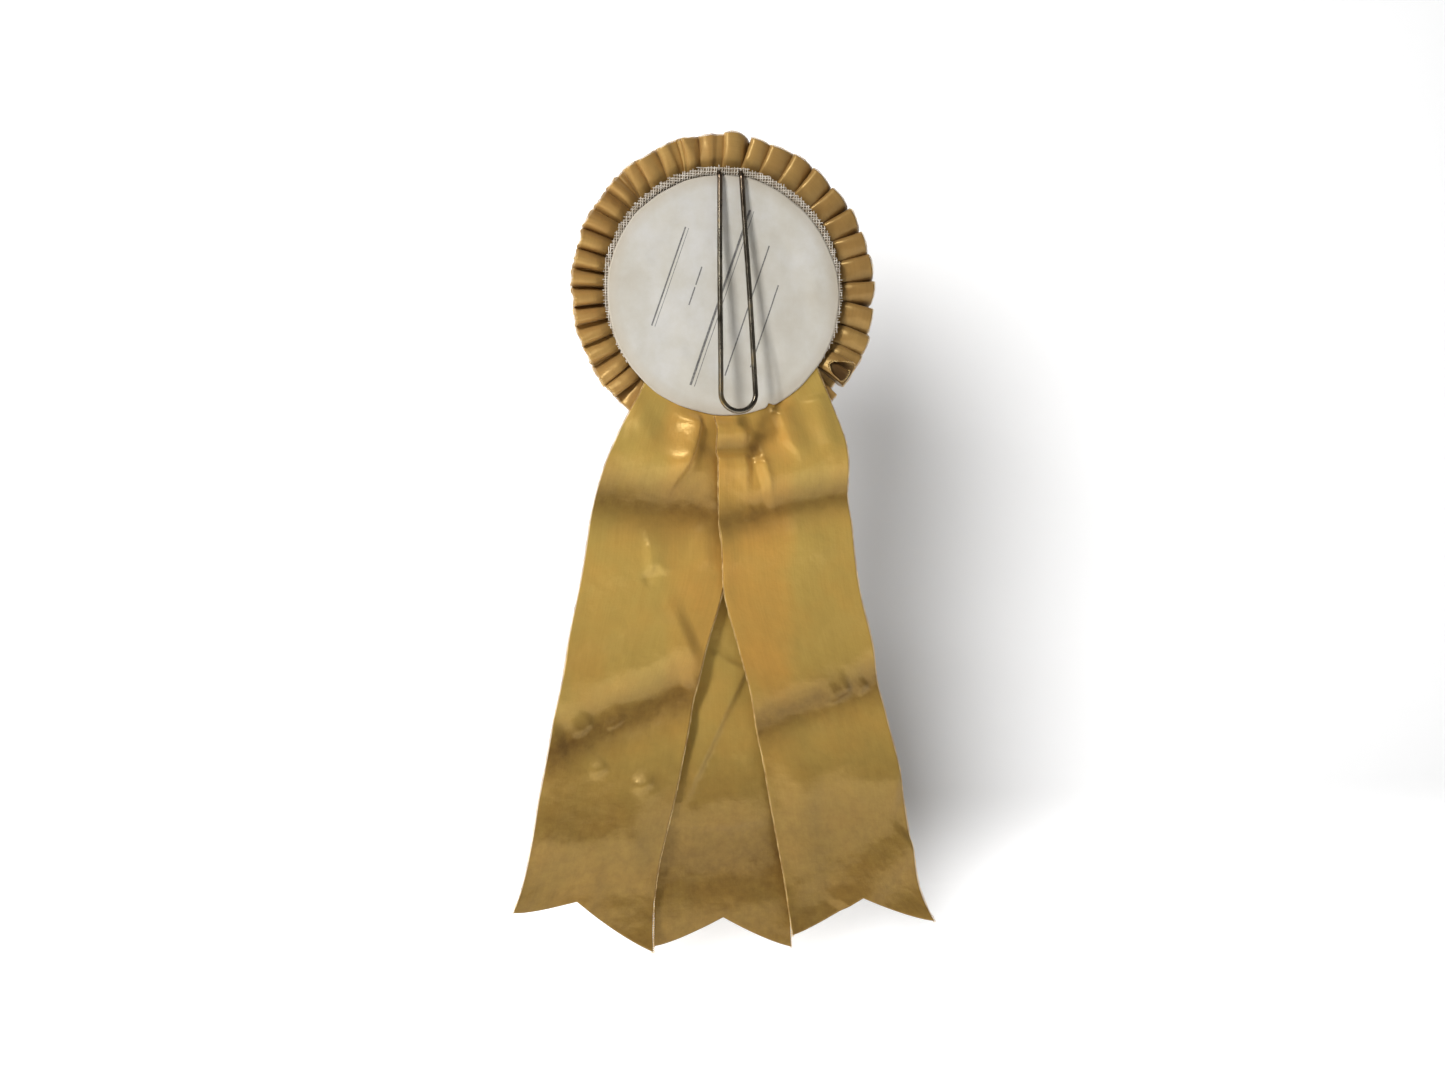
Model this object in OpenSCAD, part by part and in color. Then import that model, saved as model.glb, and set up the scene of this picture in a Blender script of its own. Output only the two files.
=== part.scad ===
// Prize rosette of pleated satin with three ribbon tails and a wire pocket clip.
// X runs across, Z runs up, and +Y points out of the display front, so the back faces -Y.
// The origin is the mouth of the clip: where a pocket's edge sits, under the wire's top bends.

/* [Backing discs] */
// Radius of the paper label that closes the back
label_r = 42.5; // [41:0.5:43]
// Radius of the stiff buckram disc that carries everything
buckram_r = 43.5; // [43:0.5:44]
// Height of the middle of the buckram, frill and button
disc_z = -41.7; // [-42.5:0.1:-41.5]
// How much lower the label is pasted than the buckram
label_drop = 1.9; // [1.6:0.1:2.2]

/* [Frill] */
// Outer radius of the pleated frill
frill_r = 55.5; // [53:0.5:56]
// Number of pleats round the frill
pleats = 42; // [30:1:50]
// How far a pleat stands to each side of the frill's middle
pleat_height = 2.6; // [1.2:0.1:2.7]

/* [Tails] */
// Lowest point of the tails
tail_end_z = -275.2; // [-285:0.1:-265]
// Depth of the V notch cut into each tail's end
notch = 10.3; // [6:0.1:14]
// Thickness of the tails' satin ribbon
ribbon_t = 0.4; // [0.3:0.05:0.4]
// Height of the waves that the hanging ribbon keeps
wave = 1.6; // [0:0.1:2]

/* [Wire clip] */
// Radius of the clip's wire
wire_r = 0.9; // [0.7:0.05:0.9]
// Radius of the round bend at the clip's lower end, to the wire's middle
bend_r = 6.3; // [5.5:0.1:7]
// Angle by which the clip stands off the back
clip_lean = 6.2; // [6:0.1:8]

/* [Button] */
// Radius of the satin-covered button
button_r = 28.6; // [24:0.1:30]
// Where the flat front of the button lies
button_front_y = 16; // [15.2:0.1:18]

/* [Hidden] */
$fn = 96;
disc_x = -2;
label_z = disc_z - label_drop;

// The layers from the back, by the Y of their rear faces.
label_t = 0.3;
head_y = 0.6;
centre_head_y = 1.35;
buckram_y = 1.8;
buckram_t = 0.7;
inner_buckram_y = 5.3;
frill_y = 6.05;
button_hem_y = 8.35;
cover_t = 0.5;
card_y = button_hem_y + cover_t + 0.05;
card_t = 1.2;

// The wire's path: down the back, over through the buckram, and down its front.
clip_y = -1.25;
anchor_y = 3.9;
hook_r = (anchor_y - clip_y) / 2;
hook_y = (anchor_y + clip_y) / 2;
hook_z = -2.6;
leg_x = 4;
leg_gap = 0.6;
bend_z = -75.6;
splay = atan((bend_r - leg_x) / -bend_z);
leg_len = -bend_z / cos(splay);
swelling_r = wire_r + 0.06;
anchor_len = 24;
foot_bend_r = 2;
foot_len = 5;
wire_hole_r = 1.2;

// The tails fold just under the label, and the rear one just under the frill.
side_fold_z = -90;
centre_fold_z = -99;
fold_gap = 0.4;
head_top_z = -66;
tail_rows = 22;
tail_columns = 8;

// Edges of each tail as [height, left, right].
left_edges = [
    [-280, -80, -29.5], [-246, -75.5, -27.8], [-190, -62.5, -13.4], [-148, -54, -3.6],
    [-110, -47.3, -5], [-90, -40, -5.9]
];
right_edges = [
    [-280, 25, 77], [-246, 19, 69], [-190, 8.6, 57.2], [-148, -2.6, 48.2], [-110, -4, 43.2], [-90, -4.9, 40.6]
];
centre_edges = [[-280, -26.2, 22.5], [-190, -26.6, 22.4], [-99, -24, 20]];

thread_r = 0.14;
stitch_len = 3;
staple_r = 0.5;
staple_half = 3;
staple_bend_r = 1.2;
staple_y = 1.05;
staple_foot = 6;
staple_hole_r = 0.65;
staple_top_y = card_y + card_t + staple_r + 0.05;

// Stands shapes drawn on the ground up as layers, growing towards the front from rear_y.
module layer(rear_y, x = disc_x, z = disc_z) {
    translate([x, rear_y, z]) rotate([-90, 0, 0]) children();
}

// A flat piece drawn as an outline in X and Z, from rear_y forwards.
module plate(rear_y, t, outline) {
    translate([0, rear_y + t, 0]) rotate([90, 0, 0]) linear_extrude(t) polygon(outline);
}

function quad(a, b, c, d) = [[a, b, c], [a, c, d]];
function mix(a, b, u) = a + (b - a) * u;

// ---- Wire clip ----

// One leg and half of the round bend, mirrored to make the pair. They meet in a slight swelling.
module clip_side() {
    translate([bend_r, 0, bend_z]) {
        rotate([0, -splay, 0]) cylinder(h = leg_len - leg_gap, r = wire_r);
        sphere(r = swelling_r);
    }
    translate([0, 0, bend_z]) rotate([90, 0, 0]) rotate([0, 0, -90])
        rotate_extrude(angle = 90) translate([bend_r, 0]) circle(r = wire_r);
}

module wire_clip() {
    color("#6f6349") translate([0, clip_y, hook_z]) rotate([-clip_lean, 0, 0]) {
        clip_side();
        mirror([1, 0, 0]) clip_side();
    }
}

// The wire's hidden end: a hook over through the buckram, a straight, and a foot turned outwards.
module anchor_side() {
    translate([leg_x, hook_y, hook_z]) rotate([90, 0, 90])
        rotate_extrude(angle = 180) translate([hook_r, 0]) circle(r = wire_r);
    translate([leg_x, anchor_y, hook_z - anchor_len]) cylinder(h = anchor_len, r = wire_r);
    translate([leg_x + foot_bend_r, anchor_y, hook_z - anchor_len]) rotate([90, 0, 0]) rotate([0, 0, 180])
        rotate_extrude(angle = 90) translate([foot_bend_r, 0]) circle(r = wire_r);
    translate([leg_x + foot_bend_r, anchor_y, hook_z - anchor_len - foot_bend_r])
        rotate([0, 90, 0]) cylinder(h = foot_len, r = wire_r);
}

module clip_anchor() {
    color("#5b4c36") {
        anchor_side();
        mirror([1, 0, 0]) anchor_side();
    }
}

// Thread lashed round each anchor leg in three places.
module clip_binding() {
    lash_r = wire_r + thread_r + 0.05;
    color("#d8cba8") for (side = [-1, 1], drop = [5, 12, 19])
        translate([side * leg_x, anchor_y, hook_z - drop])
            rotate_extrude() translate([lash_r, 0]) circle(r = thread_r, $fn = 24);
}

// ---- Backing discs ----

module wire_holes(rear_y, t) {
    for (side = [-1, 1])
        layer(rear_y - 1, side * leg_x, hook_z + hook_r - 0.2) cylinder(h = t + 2, r = wire_hole_r);
}

module staple_holes(rear_y, t) {
    for (side = [-1, 1])
        layer(rear_y - 1, disc_x + side * staple_half) cylinder(h = t + 2, r = staple_hole_r);
}

module back_label() {
    color("#dedacf") difference() {
        layer(0, z = label_z) cylinder(h = label_t, r = label_r);
        wire_holes(0, label_t);
    }
}

module rear_buckram() {
    color("#c3b49d") difference() {
        layer(buckram_y) cylinder(h = buckram_t, r = buckram_r);
        wire_holes(buckram_y, buckram_t);
        staple_holes(buckram_y, buckram_t);
    }
}

module inner_buckram() {
    color("#c3b49d") difference() {
        layer(inner_buckram_y) cylinder(h = buckram_t, r = buckram_r - 3.5);
        staple_holes(inner_buckram_y, buckram_t);
    }
}

// ---- Tails ----

// The waves in hanging ribbon: none at the fold, then a long one and a short one down its length.
function hang(x, z) =
    let (d = max(0, centre_fold_z - z))
    (1 - exp(-pow(d / 45, 2))) * wave * (sin(d * 2.6 + x * 0.8) + 0.6 * sin(d * 5.1 + 40));

function edge(edges, z, side) = lookup(z, [for (e = edges) [e[0], e[side]]]);

// A point of a tail's middle surface: u runs across it, and v from the fold to the cut end.
function tail_point(edges, fold_z, tips, y, curl, u, v) =
    let (
        end_z = mix(tips[0], tips[1], u) + notch * (1 - abs(2 * u - 1)),
        top_z = fold_z - fold_gap,
        z = mix(top_z, end_z, v),
        edge_z = mix(top_z, mix(tips[0], tips[1], u), v),
        x = mix(edge(edges, edge_z, 1), edge(edges, edge_z, 2), u)
    )
    [x, y + hang(x, z) - curl * pow(v, 10) * pow(2 * u - 1, 2), z];

// A closed sheet of ribbon_t with one row of points for each step down the tail.
module tail_sheet(edges, fold_z, tips, rear_y, curl) {
    n = tail_columns + 1;
    m = tail_rows + 1;
    function at(row, column, layer) = layer * n * m + row * n + column;
    points = [
        for (back = [0, 1], row = [0:tail_rows], column = [0:tail_columns])
            tail_point(edges, fold_z, tips, rear_y + back * ribbon_t, curl, column / tail_columns, row / tail_rows)
    ];
    faces = [
        for (row = [0:tail_rows - 1], column = [0:tail_columns - 1]) each concat(
            quad(at(row, column, 0), at(row, column + 1, 0), at(row + 1, column + 1, 0), at(row + 1, column, 0)),
            quad(at(row, column, 1), at(row + 1, column, 1), at(row + 1, column + 1, 1), at(row, column + 1, 1))
        ),
        for (row = [0:tail_rows - 1]) each concat(
            quad(at(row, 0, 0), at(row + 1, 0, 0), at(row + 1, 0, 1), at(row, 0, 1)),
            quad(at(row, n - 1, 0), at(row, n - 1, 1), at(row + 1, n - 1, 1), at(row + 1, n - 1, 0))
        ),
        for (column = [0:tail_columns - 1]) each concat(
            quad(at(0, column, 0), at(0, column, 1), at(0, column + 1, 1), at(0, column + 1, 0)),
            quad(
                at(m - 1, column, 0), at(m - 1, column + 1, 0), at(m - 1, column + 1, 1), at(m - 1, column, 1)
            )
        )
    ];
    polyhedron(points, faces);
}

module left_tail() {
    color("#b8953f") tail_sheet(left_edges, side_fold_z, [-261, tail_end_z + 1], head_y, 3);
}

module right_tail() {
    color("#c09c45") tail_sheet(right_edges, side_fold_z, [tail_end_z + 5, -264.4], head_y, 3);
}

module centre_tail() {
    color("#a98839") tail_sheet(centre_edges, centre_fold_z, [tail_end_z + 2, tail_end_z], centre_head_y, 0);
}

// The upper ends of the tails, pleated narrower and sewn to the buckram under the label.
module left_tail_head() {
    low = side_fold_z + fold_gap;
    color("#c9a24f") plate(head_y, ribbon_t, [
        [-27, head_top_z], [-30, -74.5], [-40, low], [-5.9, low], [-7, head_top_z]
    ]);
}

module right_tail_head() {
    low = side_fold_z + fold_gap;
    color("#c9a24f") plate(head_y, ribbon_t, [
        [31, head_top_z], [-5.6, head_top_z], [-4.9, low], [40.6, low], [33, -71]
    ]);
}

module centre_tail_head() {
    low = centre_fold_z + fold_gap;
    color("#b8953f") plate(centre_head_y, ribbon_t, [
        [-20, head_top_z], [-24, low], [20, low], [16, head_top_z]
    ]);
}

// Two rows of thread across the sewn ends.
module tail_stitches() {
    color("#d8b560") for (z = [-69, -72], x = [-25:4.5:27])
        translate([x, head_y - thread_r, z]) rotate([0, 90, 0]) cylinder(h = stitch_len, r = thread_r, $fn = 24);
}

// ---- Frill ----

// One ring of knife pleats: a flat sewn band, then folds that open towards the rim.
// Each station is [radius, middle Y, height of the folds to each side].
module pleated_ring(stations, t) {
    steps = pleats * 3;
    k = len(stations);
    fold = [-1, 0.55, 1];
    function at(i, j, layer) = (layer * steps + i % steps) * k + j;
    points = [
        for (side = [-1, 1], i = [0:steps - 1], s = stations)
            [
                disc_x + s[0] * cos(i * 360 / steps),
                s[1] + s[2] * fold[i % 3] + side * t / 2,
                disc_z + s[0] * sin(i * 360 / steps)
            ]
    ];
    faces = [
        for (i = [0:steps - 1], j = [0:k - 2]) each concat(
            quad(at(i, j, 0), at(i + 1, j, 0), at(i + 1, j + 1, 0), at(i, j + 1, 0)),
            quad(at(i, j + 1, 1), at(i + 1, j + 1, 1), at(i + 1, j, 1), at(i, j, 1))
        ),
        for (i = [0:steps - 1]) each concat(
            quad(at(i, k - 1, 0), at(i + 1, k - 1, 0), at(i + 1, k - 1, 1), at(i, k - 1, 1)),
            quad(at(i, 0, 1), at(i + 1, 0, 1), at(i + 1, 0, 0), at(i, 0, 0))
        )
    ];
    polyhedron(points, faces);
}

module rear_frill() {
    y = frill_y + 0.5;
    color("#c9a24f") pleated_ring([
        [24, y, 0], [buckram_r - 2.5, y, 0], [buckram_r + 1, y - 0.4, 0.5 * pleat_height],
        [frill_r, y - 0.9, pleat_height]
    ], 1);
}

module front_frill() {
    y = frill_y + 1.65;
    color("#cda753") pleated_ring([
        [24, y, 0], [buckram_r - 2.5, y, 0], [buckram_r + 1, y + 2, 0.5 * pleat_height],
        [frill_r - 0.8, y + 4, pleat_height]
    ], 1);
}

// A circle of short running stitches, from one angle to another.
module stitch_circle(r, y, from, to) {
    for (a = [from:9:to])
        translate([disc_x, y, disc_z]) rotate([0, -a, 0])
            translate([r, 0, -stitch_len / 2]) cylinder(h = stitch_len, r = thread_r, $fn = 24);
}

module rear_frill_stitches() {
    color("#d8b560") stitch_circle(38.5, buckram_y - thread_r, -36, 216);
}

module front_frill_stitches() {
    color("#d8b560") stitch_circle(34, frill_y + 2.15 + thread_r, 0, 351);
}

// ---- Button ----

module button_card() {
    color("#b9a98a") difference() {
        layer(card_y) cylinder(h = card_t, r = button_r - cover_t - 0.1);
        staple_holes(card_y, card_t);
    }
}

// Half of a disc with a rounded front edge, from the axis out to r.
module rounded_half(r, y0, y1, round_r) {
    translate([0, y0]) square([r, y1 - y0 - round_r]);
    translate([0, y1 - round_r - 0.01]) square([r - round_r, round_r + 0.01]);
    translate([r - round_r, y1 - round_r]) intersection() {
        circle(r = round_r);
        square(round_r);
    }
}

module button_padding() {
    front = button_front_y - cover_t - 0.05;
    color("#e6e0d2") difference() {
        layer(0) rotate_extrude()
            rounded_half(button_r - cover_t - 0.1, card_y + card_t + 0.05, front, 3);
        translate([disc_x - staple_half - 1, card_y + card_t, disc_z - 1])
            cube([2 * staple_half + 2, 2 * staple_r + 0.3, 2]);
    }
}

// Satin stretched over the front and turned in behind the card.
module button_cover() {
    color("#d6ae5e") layer(0) rotate_extrude() {
        difference() {
            rounded_half(button_r, button_hem_y, button_front_y, 3.5);
            rounded_half(button_r - cover_t, button_hem_y - 1, button_front_y - cover_t, 3);
        }
        translate([button_r - 6, button_hem_y]) square([6 - cover_t / 2, cover_t]);
    }
}

// A two-legged wire staple that holds the button on, its feet turned outwards under the label.
module staple_side() {
    rear = staple_y + staple_bend_r;
    translate([staple_half, rear, 0]) rotate([-90, 0, 0]) cylinder(h = staple_top_y - rear, r = staple_r);
    translate([staple_half + staple_bend_r, rear, 0]) rotate([0, 0, 180])
        rotate_extrude(angle = 90) translate([staple_bend_r, 0]) circle(r = staple_r);
    translate([staple_half + staple_bend_r, staple_y, 0]) rotate([0, 90, 0]) cylinder(h = staple_foot, r = staple_r);
    translate([staple_half, staple_top_y, 0]) sphere(r = staple_r);
    translate([0, staple_top_y, 0]) rotate([0, 90, 0]) cylinder(h = staple_half, r = staple_r);
}

module button_fastener() {
    color("#8c8a80") translate([disc_x, 0, disc_z]) {
        staple_side();
        mirror([1, 0, 0]) staple_side();
    }
}

wire_clip();
clip_anchor();
clip_binding();
back_label();
rear_buckram();
inner_buckram();
left_tail_head();
right_tail_head();
centre_tail_head();
left_tail();
right_tail();
centre_tail();
tail_stitches();
rear_frill();
front_frill();
rear_frill_stitches();
front_frill_stitches();
button_card();
button_padding();
button_cover();
button_fastener();
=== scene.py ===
"""The looks of a prize rosette: pleated gold satin on buckram, with a paper back, a wire pocket clip,
a satin-covered button and three ribbon tails. Sizes are in millimetres until a mesh is made."""

import math

import bpy
import numpy as np
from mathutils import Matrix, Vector, noise


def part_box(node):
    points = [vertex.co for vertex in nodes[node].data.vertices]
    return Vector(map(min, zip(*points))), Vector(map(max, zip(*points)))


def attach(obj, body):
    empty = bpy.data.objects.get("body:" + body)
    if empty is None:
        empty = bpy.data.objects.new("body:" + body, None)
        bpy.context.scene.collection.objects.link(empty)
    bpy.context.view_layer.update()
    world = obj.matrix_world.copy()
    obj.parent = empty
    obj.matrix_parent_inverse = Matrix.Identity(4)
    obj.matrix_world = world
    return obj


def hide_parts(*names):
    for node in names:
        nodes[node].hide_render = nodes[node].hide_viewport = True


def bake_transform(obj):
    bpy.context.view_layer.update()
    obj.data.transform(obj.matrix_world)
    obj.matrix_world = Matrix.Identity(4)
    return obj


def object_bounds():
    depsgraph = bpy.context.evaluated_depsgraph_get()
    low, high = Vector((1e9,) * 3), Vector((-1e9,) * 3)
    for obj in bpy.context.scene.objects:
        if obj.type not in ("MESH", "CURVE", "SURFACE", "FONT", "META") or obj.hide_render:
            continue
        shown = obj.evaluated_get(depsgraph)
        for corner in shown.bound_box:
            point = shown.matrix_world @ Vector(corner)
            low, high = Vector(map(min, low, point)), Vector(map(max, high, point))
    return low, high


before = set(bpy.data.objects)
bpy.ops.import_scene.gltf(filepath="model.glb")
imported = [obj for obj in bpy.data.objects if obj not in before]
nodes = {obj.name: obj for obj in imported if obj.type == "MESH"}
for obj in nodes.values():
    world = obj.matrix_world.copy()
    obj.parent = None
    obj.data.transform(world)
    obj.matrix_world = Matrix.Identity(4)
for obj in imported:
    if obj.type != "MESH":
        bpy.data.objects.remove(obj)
cad_low, cad_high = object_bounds()
scene = bpy.context.scene

# ---- Studio ----
# The rosette hangs in front of one sheet of pale paper that curves from floor to wall. A window-like light
# stands to the left and a little above, and weaker ones fill the other sides and light the front.


def colour(code):
    """An sRGB hex colour as linear RGBA."""
    parts = [int(code[i : i + 2], 16) / 255 for i in (1, 3, 5)]
    return [p / 12.92 if p <= 0.04045 else ((p + 0.055) / 1.055) ** 2.4 for p in parts] + [1.0]


def add(tree, kind, inputs=None, **settings):
    """Adds a node with its settings. An input is a value, or the output of another node."""
    made = tree.nodes.new(kind)
    for name, value in settings.items():
        setattr(made, name, value)
    for name, value in (inputs or {}).items():
        if isinstance(value, bpy.types.NodeSocket):
            tree.links.new(value, made.inputs[name])
        else:
            made.inputs[name].default_value = value
    return made


def new_material(name, **values):
    """A material with a Principled surface. Returns it with its tree and its shader."""
    made = bpy.data.materials.new(name)
    made.use_nodes = True
    made.node_tree.nodes.clear()
    shader = add(made.node_tree, "ShaderNodeBsdfPrincipled")
    for socket, value in values.items():
        shader.inputs[socket.replace("_", " ")].default_value = value
    add(made.node_tree, "ShaderNodeOutputMaterial", {"Surface": shader.outputs[0]})
    return made, made.node_tree, shader


def mesh_object(name, points_mm, faces, edges=()):
    """An object whose mesh is given in millimetres, in the shared frame."""
    mesh = bpy.data.meshes.new(name)
    mesh.from_pydata((np.asarray(points_mm, float).reshape(-1, 3) / 1000).tolist(), list(edges), faces)
    made = bpy.data.objects.new(name, mesh)
    scene.collection.objects.link(made)
    return made


scene.view_settings.view_transform = "Standard"
label_low, label_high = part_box("back_label")
aim = Vector(((label_low.x + label_high.x) / 2 - 0.0007, 0, (cad_low.z + cad_high.z) / 2))

camera_azimuth = math.radians(-15)
camera_distance = 1.0
seen_width = 0.510
camera = bpy.data.objects.new("camera", bpy.data.cameras.new("camera"))
scene.collection.objects.link(camera)
scene.camera = camera
camera.data.sensor_width = 36
camera.data.lens = 36 * camera_distance / seen_width
camera.location = aim + camera_distance * Vector((math.sin(camera_azimuth), -math.cos(camera_azimuth), 0))
camera.rotation_euler = (aim - camera.location).to_track_quat("-Z", "Y").to_euler()

# The paper sweep curves up behind the hanging tails, just clear of the middle one's swing. It is one
# sided, so that the front can be lit and seen too, and it glows towards its foot, to stay pale there.
sweep_foot_z = -0.285
glow_end_z = -0.23
sweep_paper, tree, shader = new_material("studio sweep paper, seen from one side", Roughness=0.95)
shader.inputs["Base Color"].default_value = colour("#c4c4c4")
shader.inputs["Emission Color"].default_value = colour("#ffffff")
height_m = add(tree, "ShaderNodeSeparateXYZ", {0: add(tree, "ShaderNodeTexCoord").outputs["Object"]})
glow = add(tree, "ShaderNodeMapRange",
           {"Value": height_m.outputs["Z"], "From Min": sweep_foot_z, "From Max": glow_end_z, "To Min": 0.62,
            "To Max": 0.0}, interpolation_type="SMOOTHSTEP")
tree.links.new(glow.outputs[0], shader.inputs["Emission Strength"])
behind = add(
    tree, "ShaderNodeMath",
    {0: add(tree, "ShaderNodeNewGeometry").outputs["Backfacing"],
     1: add(tree, "ShaderNodeLightPath").outputs["Is Shadow Ray"]},
    operation="MAXIMUM",
)
clear = add(tree, "ShaderNodeBsdfTransparent")
mixed = add(tree, "ShaderNodeMixShader", {0: behind.outputs[0], 1: shader.outputs[0], 2: clear.outputs[0]})
tree.links.new(mixed.outputs[0], tree.nodes["Material Output"].inputs["Surface"])
curve_r = 186.0
curve_middle_z = 1000 * sweep_foot_z + curve_r
sweep_front_y = -350.0
sweep_top_z = 900.0
sweep_half_width = 1500
sweep_line = [(sweep_front_y, curve_middle_z - curve_r)]
sweep_line += [
    (curve_r * math.sin(a), curve_middle_z - curve_r * math.cos(a)) for a in np.linspace(0, 1.57, 40)
]
sweep_line += [(curve_r, sweep_top_z)]
sweep = mesh_object(
    "sweep", [[x, y, z] for y, z in sweep_line for x in (-sweep_half_width, sweep_half_width)],
    [[2 * i, 2 * i + 1, 2 * i + 3, 2 * i + 2] for i in range(len(sweep_line) - 1)],
)
sweep.data.materials.append(sweep_paper)
sweep.data.shade_smooth()

# Each lamp is (name, what it lights, azimuth, elevation, distance, size, power). The sweep is lit apart,
# softly and from nearer the camera, which keeps its shadow close to the rosette.
sweep_only = bpy.data.collections.new("sweep only")
all_but_sweep = bpy.data.collections.new("all but the sweep")
for group in (sweep_only, all_but_sweep):
    group.objects.link(sweep)
all_but_sweep.collection_objects[0].light_linking.link_state = "EXCLUDE"
for name, lit, azimuth, elevation, distance, size, power in [
    ("window_lamp", all_but_sweep, -47, 33, 1.3, 0.24, 13.0),
    ("sweep_lamp", sweep_only, -33, 15, 1.4, 0.7, 60.0),
    ("room_fill", all_but_sweep, 45, 12, 1.9, 1.4, 1.8),
    ("front_lamp", None, 215, 30, 1.5, 0.5, 6.5),
    ("front_fill", None, 140, 10, 1.8, 1.2, 2.5),
]:
    lamp = bpy.data.lights.new(name, "AREA")
    lamp.shape = "SQUARE"
    lamp.size = size
    lamp.energy = power
    turn, rise = math.radians(azimuth), math.radians(elevation)
    lamp_object = bpy.data.objects.new(name, lamp)
    away = Vector((math.cos(rise) * math.sin(turn), -math.cos(rise) * math.cos(turn), math.sin(rise)))
    lamp_object.location = aim + distance * away
    lamp_object.rotation_euler = (-away).to_track_quat("-Z", "Y").to_euler()
    scene.collection.objects.link(lamp_object)
    lamp_object.light_linking.receiver_collection = lit

world = bpy.data.worlds.new("pale room")
world.use_nodes = True
room = world.node_tree.nodes["Background"]
room.inputs["Color"].default_value = colour("#f4f6fa")
seen = add(world.node_tree, "ShaderNodeLightPath").outputs["Is Camera Ray"]
room_strength = add(world.node_tree, "ShaderNodeMapRange", {"Value": seen, "To Min": 0.1, "To Max": 1.1})
world.node_tree.links.new(room_strength.outputs[0], room.inputs["Strength"])
scene.world = world

# ---- Buckram discs ----
# Two discs of stiff, open-woven sized cotton hold the rosette together. The rear one is drawn back at
# its rim to the paper, so a narrow ring of its coarse weave shows round the top and the sides.

buckram_low, buckram_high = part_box("rear_buckram")
disc_x = 500 * (buckram_low.x + buckram_high.x)
disc_z = 500 * (buckram_low.z + buckram_high.z)
buckram_r = 500 * (buckram_high.x - buckram_low.x)
buckram_y = 1000 * buckram_low.y
buckram_t = 0.7
rim_y = 0.62
thread_pitch = 0.95
thread_r = 0.17


def smooth(value, low, high):
    """0 below low, 1 above high, and a smooth rise between."""
    t = np.clip((np.asarray(value, float) - low) / (high - low), 0, 1)
    return t * t * (3 - 2 * t)


def rough(x, z, size, seed):
    """Smooth noise from -1 to 1 at points x, z, with bumps of about that size in millimetres."""
    flat_x, flat_z = np.broadcast_arrays(x, z)
    values = [noise.noise(Vector((a / size, b / size, seed))) for a, b in zip(flat_x.ravel(), flat_z.ravel())]
    return np.array(values).reshape(flat_x.shape) * 1.6


def buckram_rear(x, z):
    """Y of the rear buckram's rear face: drawn back at the rim, but not where the tails pass behind it."""
    r = np.hypot(x - disc_x, z - disc_z)
    turn = np.degrees(np.arctan2(z - disc_z, x - disc_x)) % 360
    clear_of_tails = 1 - smooth(turn, 214, 226) + smooth(turn, 322, 334)
    y = buckram_y - (buckram_y - rim_y) * smooth(r, 39.6, 42.4) * clear_of_tails
    for wire_x in (-4.0, 4.0):
        y = y - 0.9 * np.exp(-((x - wire_x) ** 2 + (z - 1.0) ** 2) / 2.6**2)
    return y + 0.16 * rough(x, z, 5.0, 3.0) * smooth(r, 40, 42)


def disc_object(name, x0, z0, rim, rings, steps, rear):
    """A disc in the XZ plane, facing the rear. rim(turn) is its radius, and rear(x, z) its Y."""
    turns = np.arange(steps) * 2 * math.pi / steps
    share = np.linspace(0, 1, rings + 1)[1:]
    x = np.concatenate([[x0], (x0 + np.outer(share, rim(turns) * np.cos(turns))).ravel()])
    z = np.concatenate([[z0], (z0 + np.outer(share, rim(turns) * np.sin(turns))).ravel()])
    faces = [[0, 1 + i, 1 + (i + 1) % steps] for i in range(steps)]
    for ring in range(rings - 1):
        a, b = 1 + ring * steps, 1 + (ring + 1) * steps
        faces += [[a + i, b + i, b + (i + 1) % steps, a + (i + 1) % steps] for i in range(steps)]
    made = mesh_object(name, np.stack([x, rear(x, z), z], -1), faces)
    made.data.shade_smooth()
    return made


def thicken(made, thickness_mm, offset):
    """Gives a sheet its thickness: offset 0 is to both sides, and -1 is away from the side it faces."""
    wall = made.modifiers.new("wall", "SOLIDIFY")
    wall.thickness = thickness_mm / 1000
    wall.offset = offset
    plain_mesh(made)


def plain_mesh(made):
    """Turns an object's modifiers into its mesh."""
    graph = bpy.context.evaluated_depsgraph_get()
    solid = bpy.data.meshes.new_from_object(
        made.evaluated_get(graph), preserve_all_data_layers=True, depsgraph=graph
    )
    made.modifiers.clear()
    made.data = solid


buckram_cloth, tree, shader = new_material("buckram, sized open-weave cotton", Roughness=0.9)
shader.inputs["Sheen Weight"].default_value = 0.15
place = add(tree, "ShaderNodeTexCoord").outputs["Object"]
split = add(tree, "ShaderNodeSeparateXYZ", {0: place})
holes = []
for axis in (0, 2):
    ripple = add(tree, "ShaderNodeMath", {0: split.outputs[axis], 1: 2 * math.pi * 1000 / thread_pitch},
                 operation="MULTIPLY")
    holes.append(add(tree, "ShaderNodeMath", {0: ripple.outputs[0]}, operation="SINE").outputs[0])
open_weave = add(tree, "ShaderNodeMath", {0: holes[0], 1: holes[1]}, operation="MULTIPLY")
# The weave pattern is the cloth's own, but the ramp paints its sunken cells darker: painted shade in the open
# holes between the threads.
tone = add(tree, "ShaderNodeValToRGB", {0: open_weave.outputs[0]})
tone.color_ramp.elements[0].color = colour("#8f7c64")
tone.color_ramp.elements[1].color = colour("#4c3c2c")
tree.links.new(tone.outputs[0], shader.inputs["Base Color"])
bump = add(tree, "ShaderNodeBump", {"Height": open_weave.outputs[0], "Strength": 0.4, "Distance": 0.0003},
           invert=True)
tree.links.new(bump.outputs[0], shader.inputs["Normal"])

rear_buckram = disc_object("rear_buckram_disc", disc_x, disc_z, lambda a: buckram_r - 0.3 + 0 * a, 46, 180,
                           buckram_rear)
rear_buckram.data.materials.append(buckram_cloth)
thicken(rear_buckram, buckram_t * 0.8, -1)
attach(rear_buckram, "rosette")
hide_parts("rear_buckram")
nodes["inner_buckram"].data.materials.clear()
nodes["inner_buckram"].data.materials.append(buckram_cloth)

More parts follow.
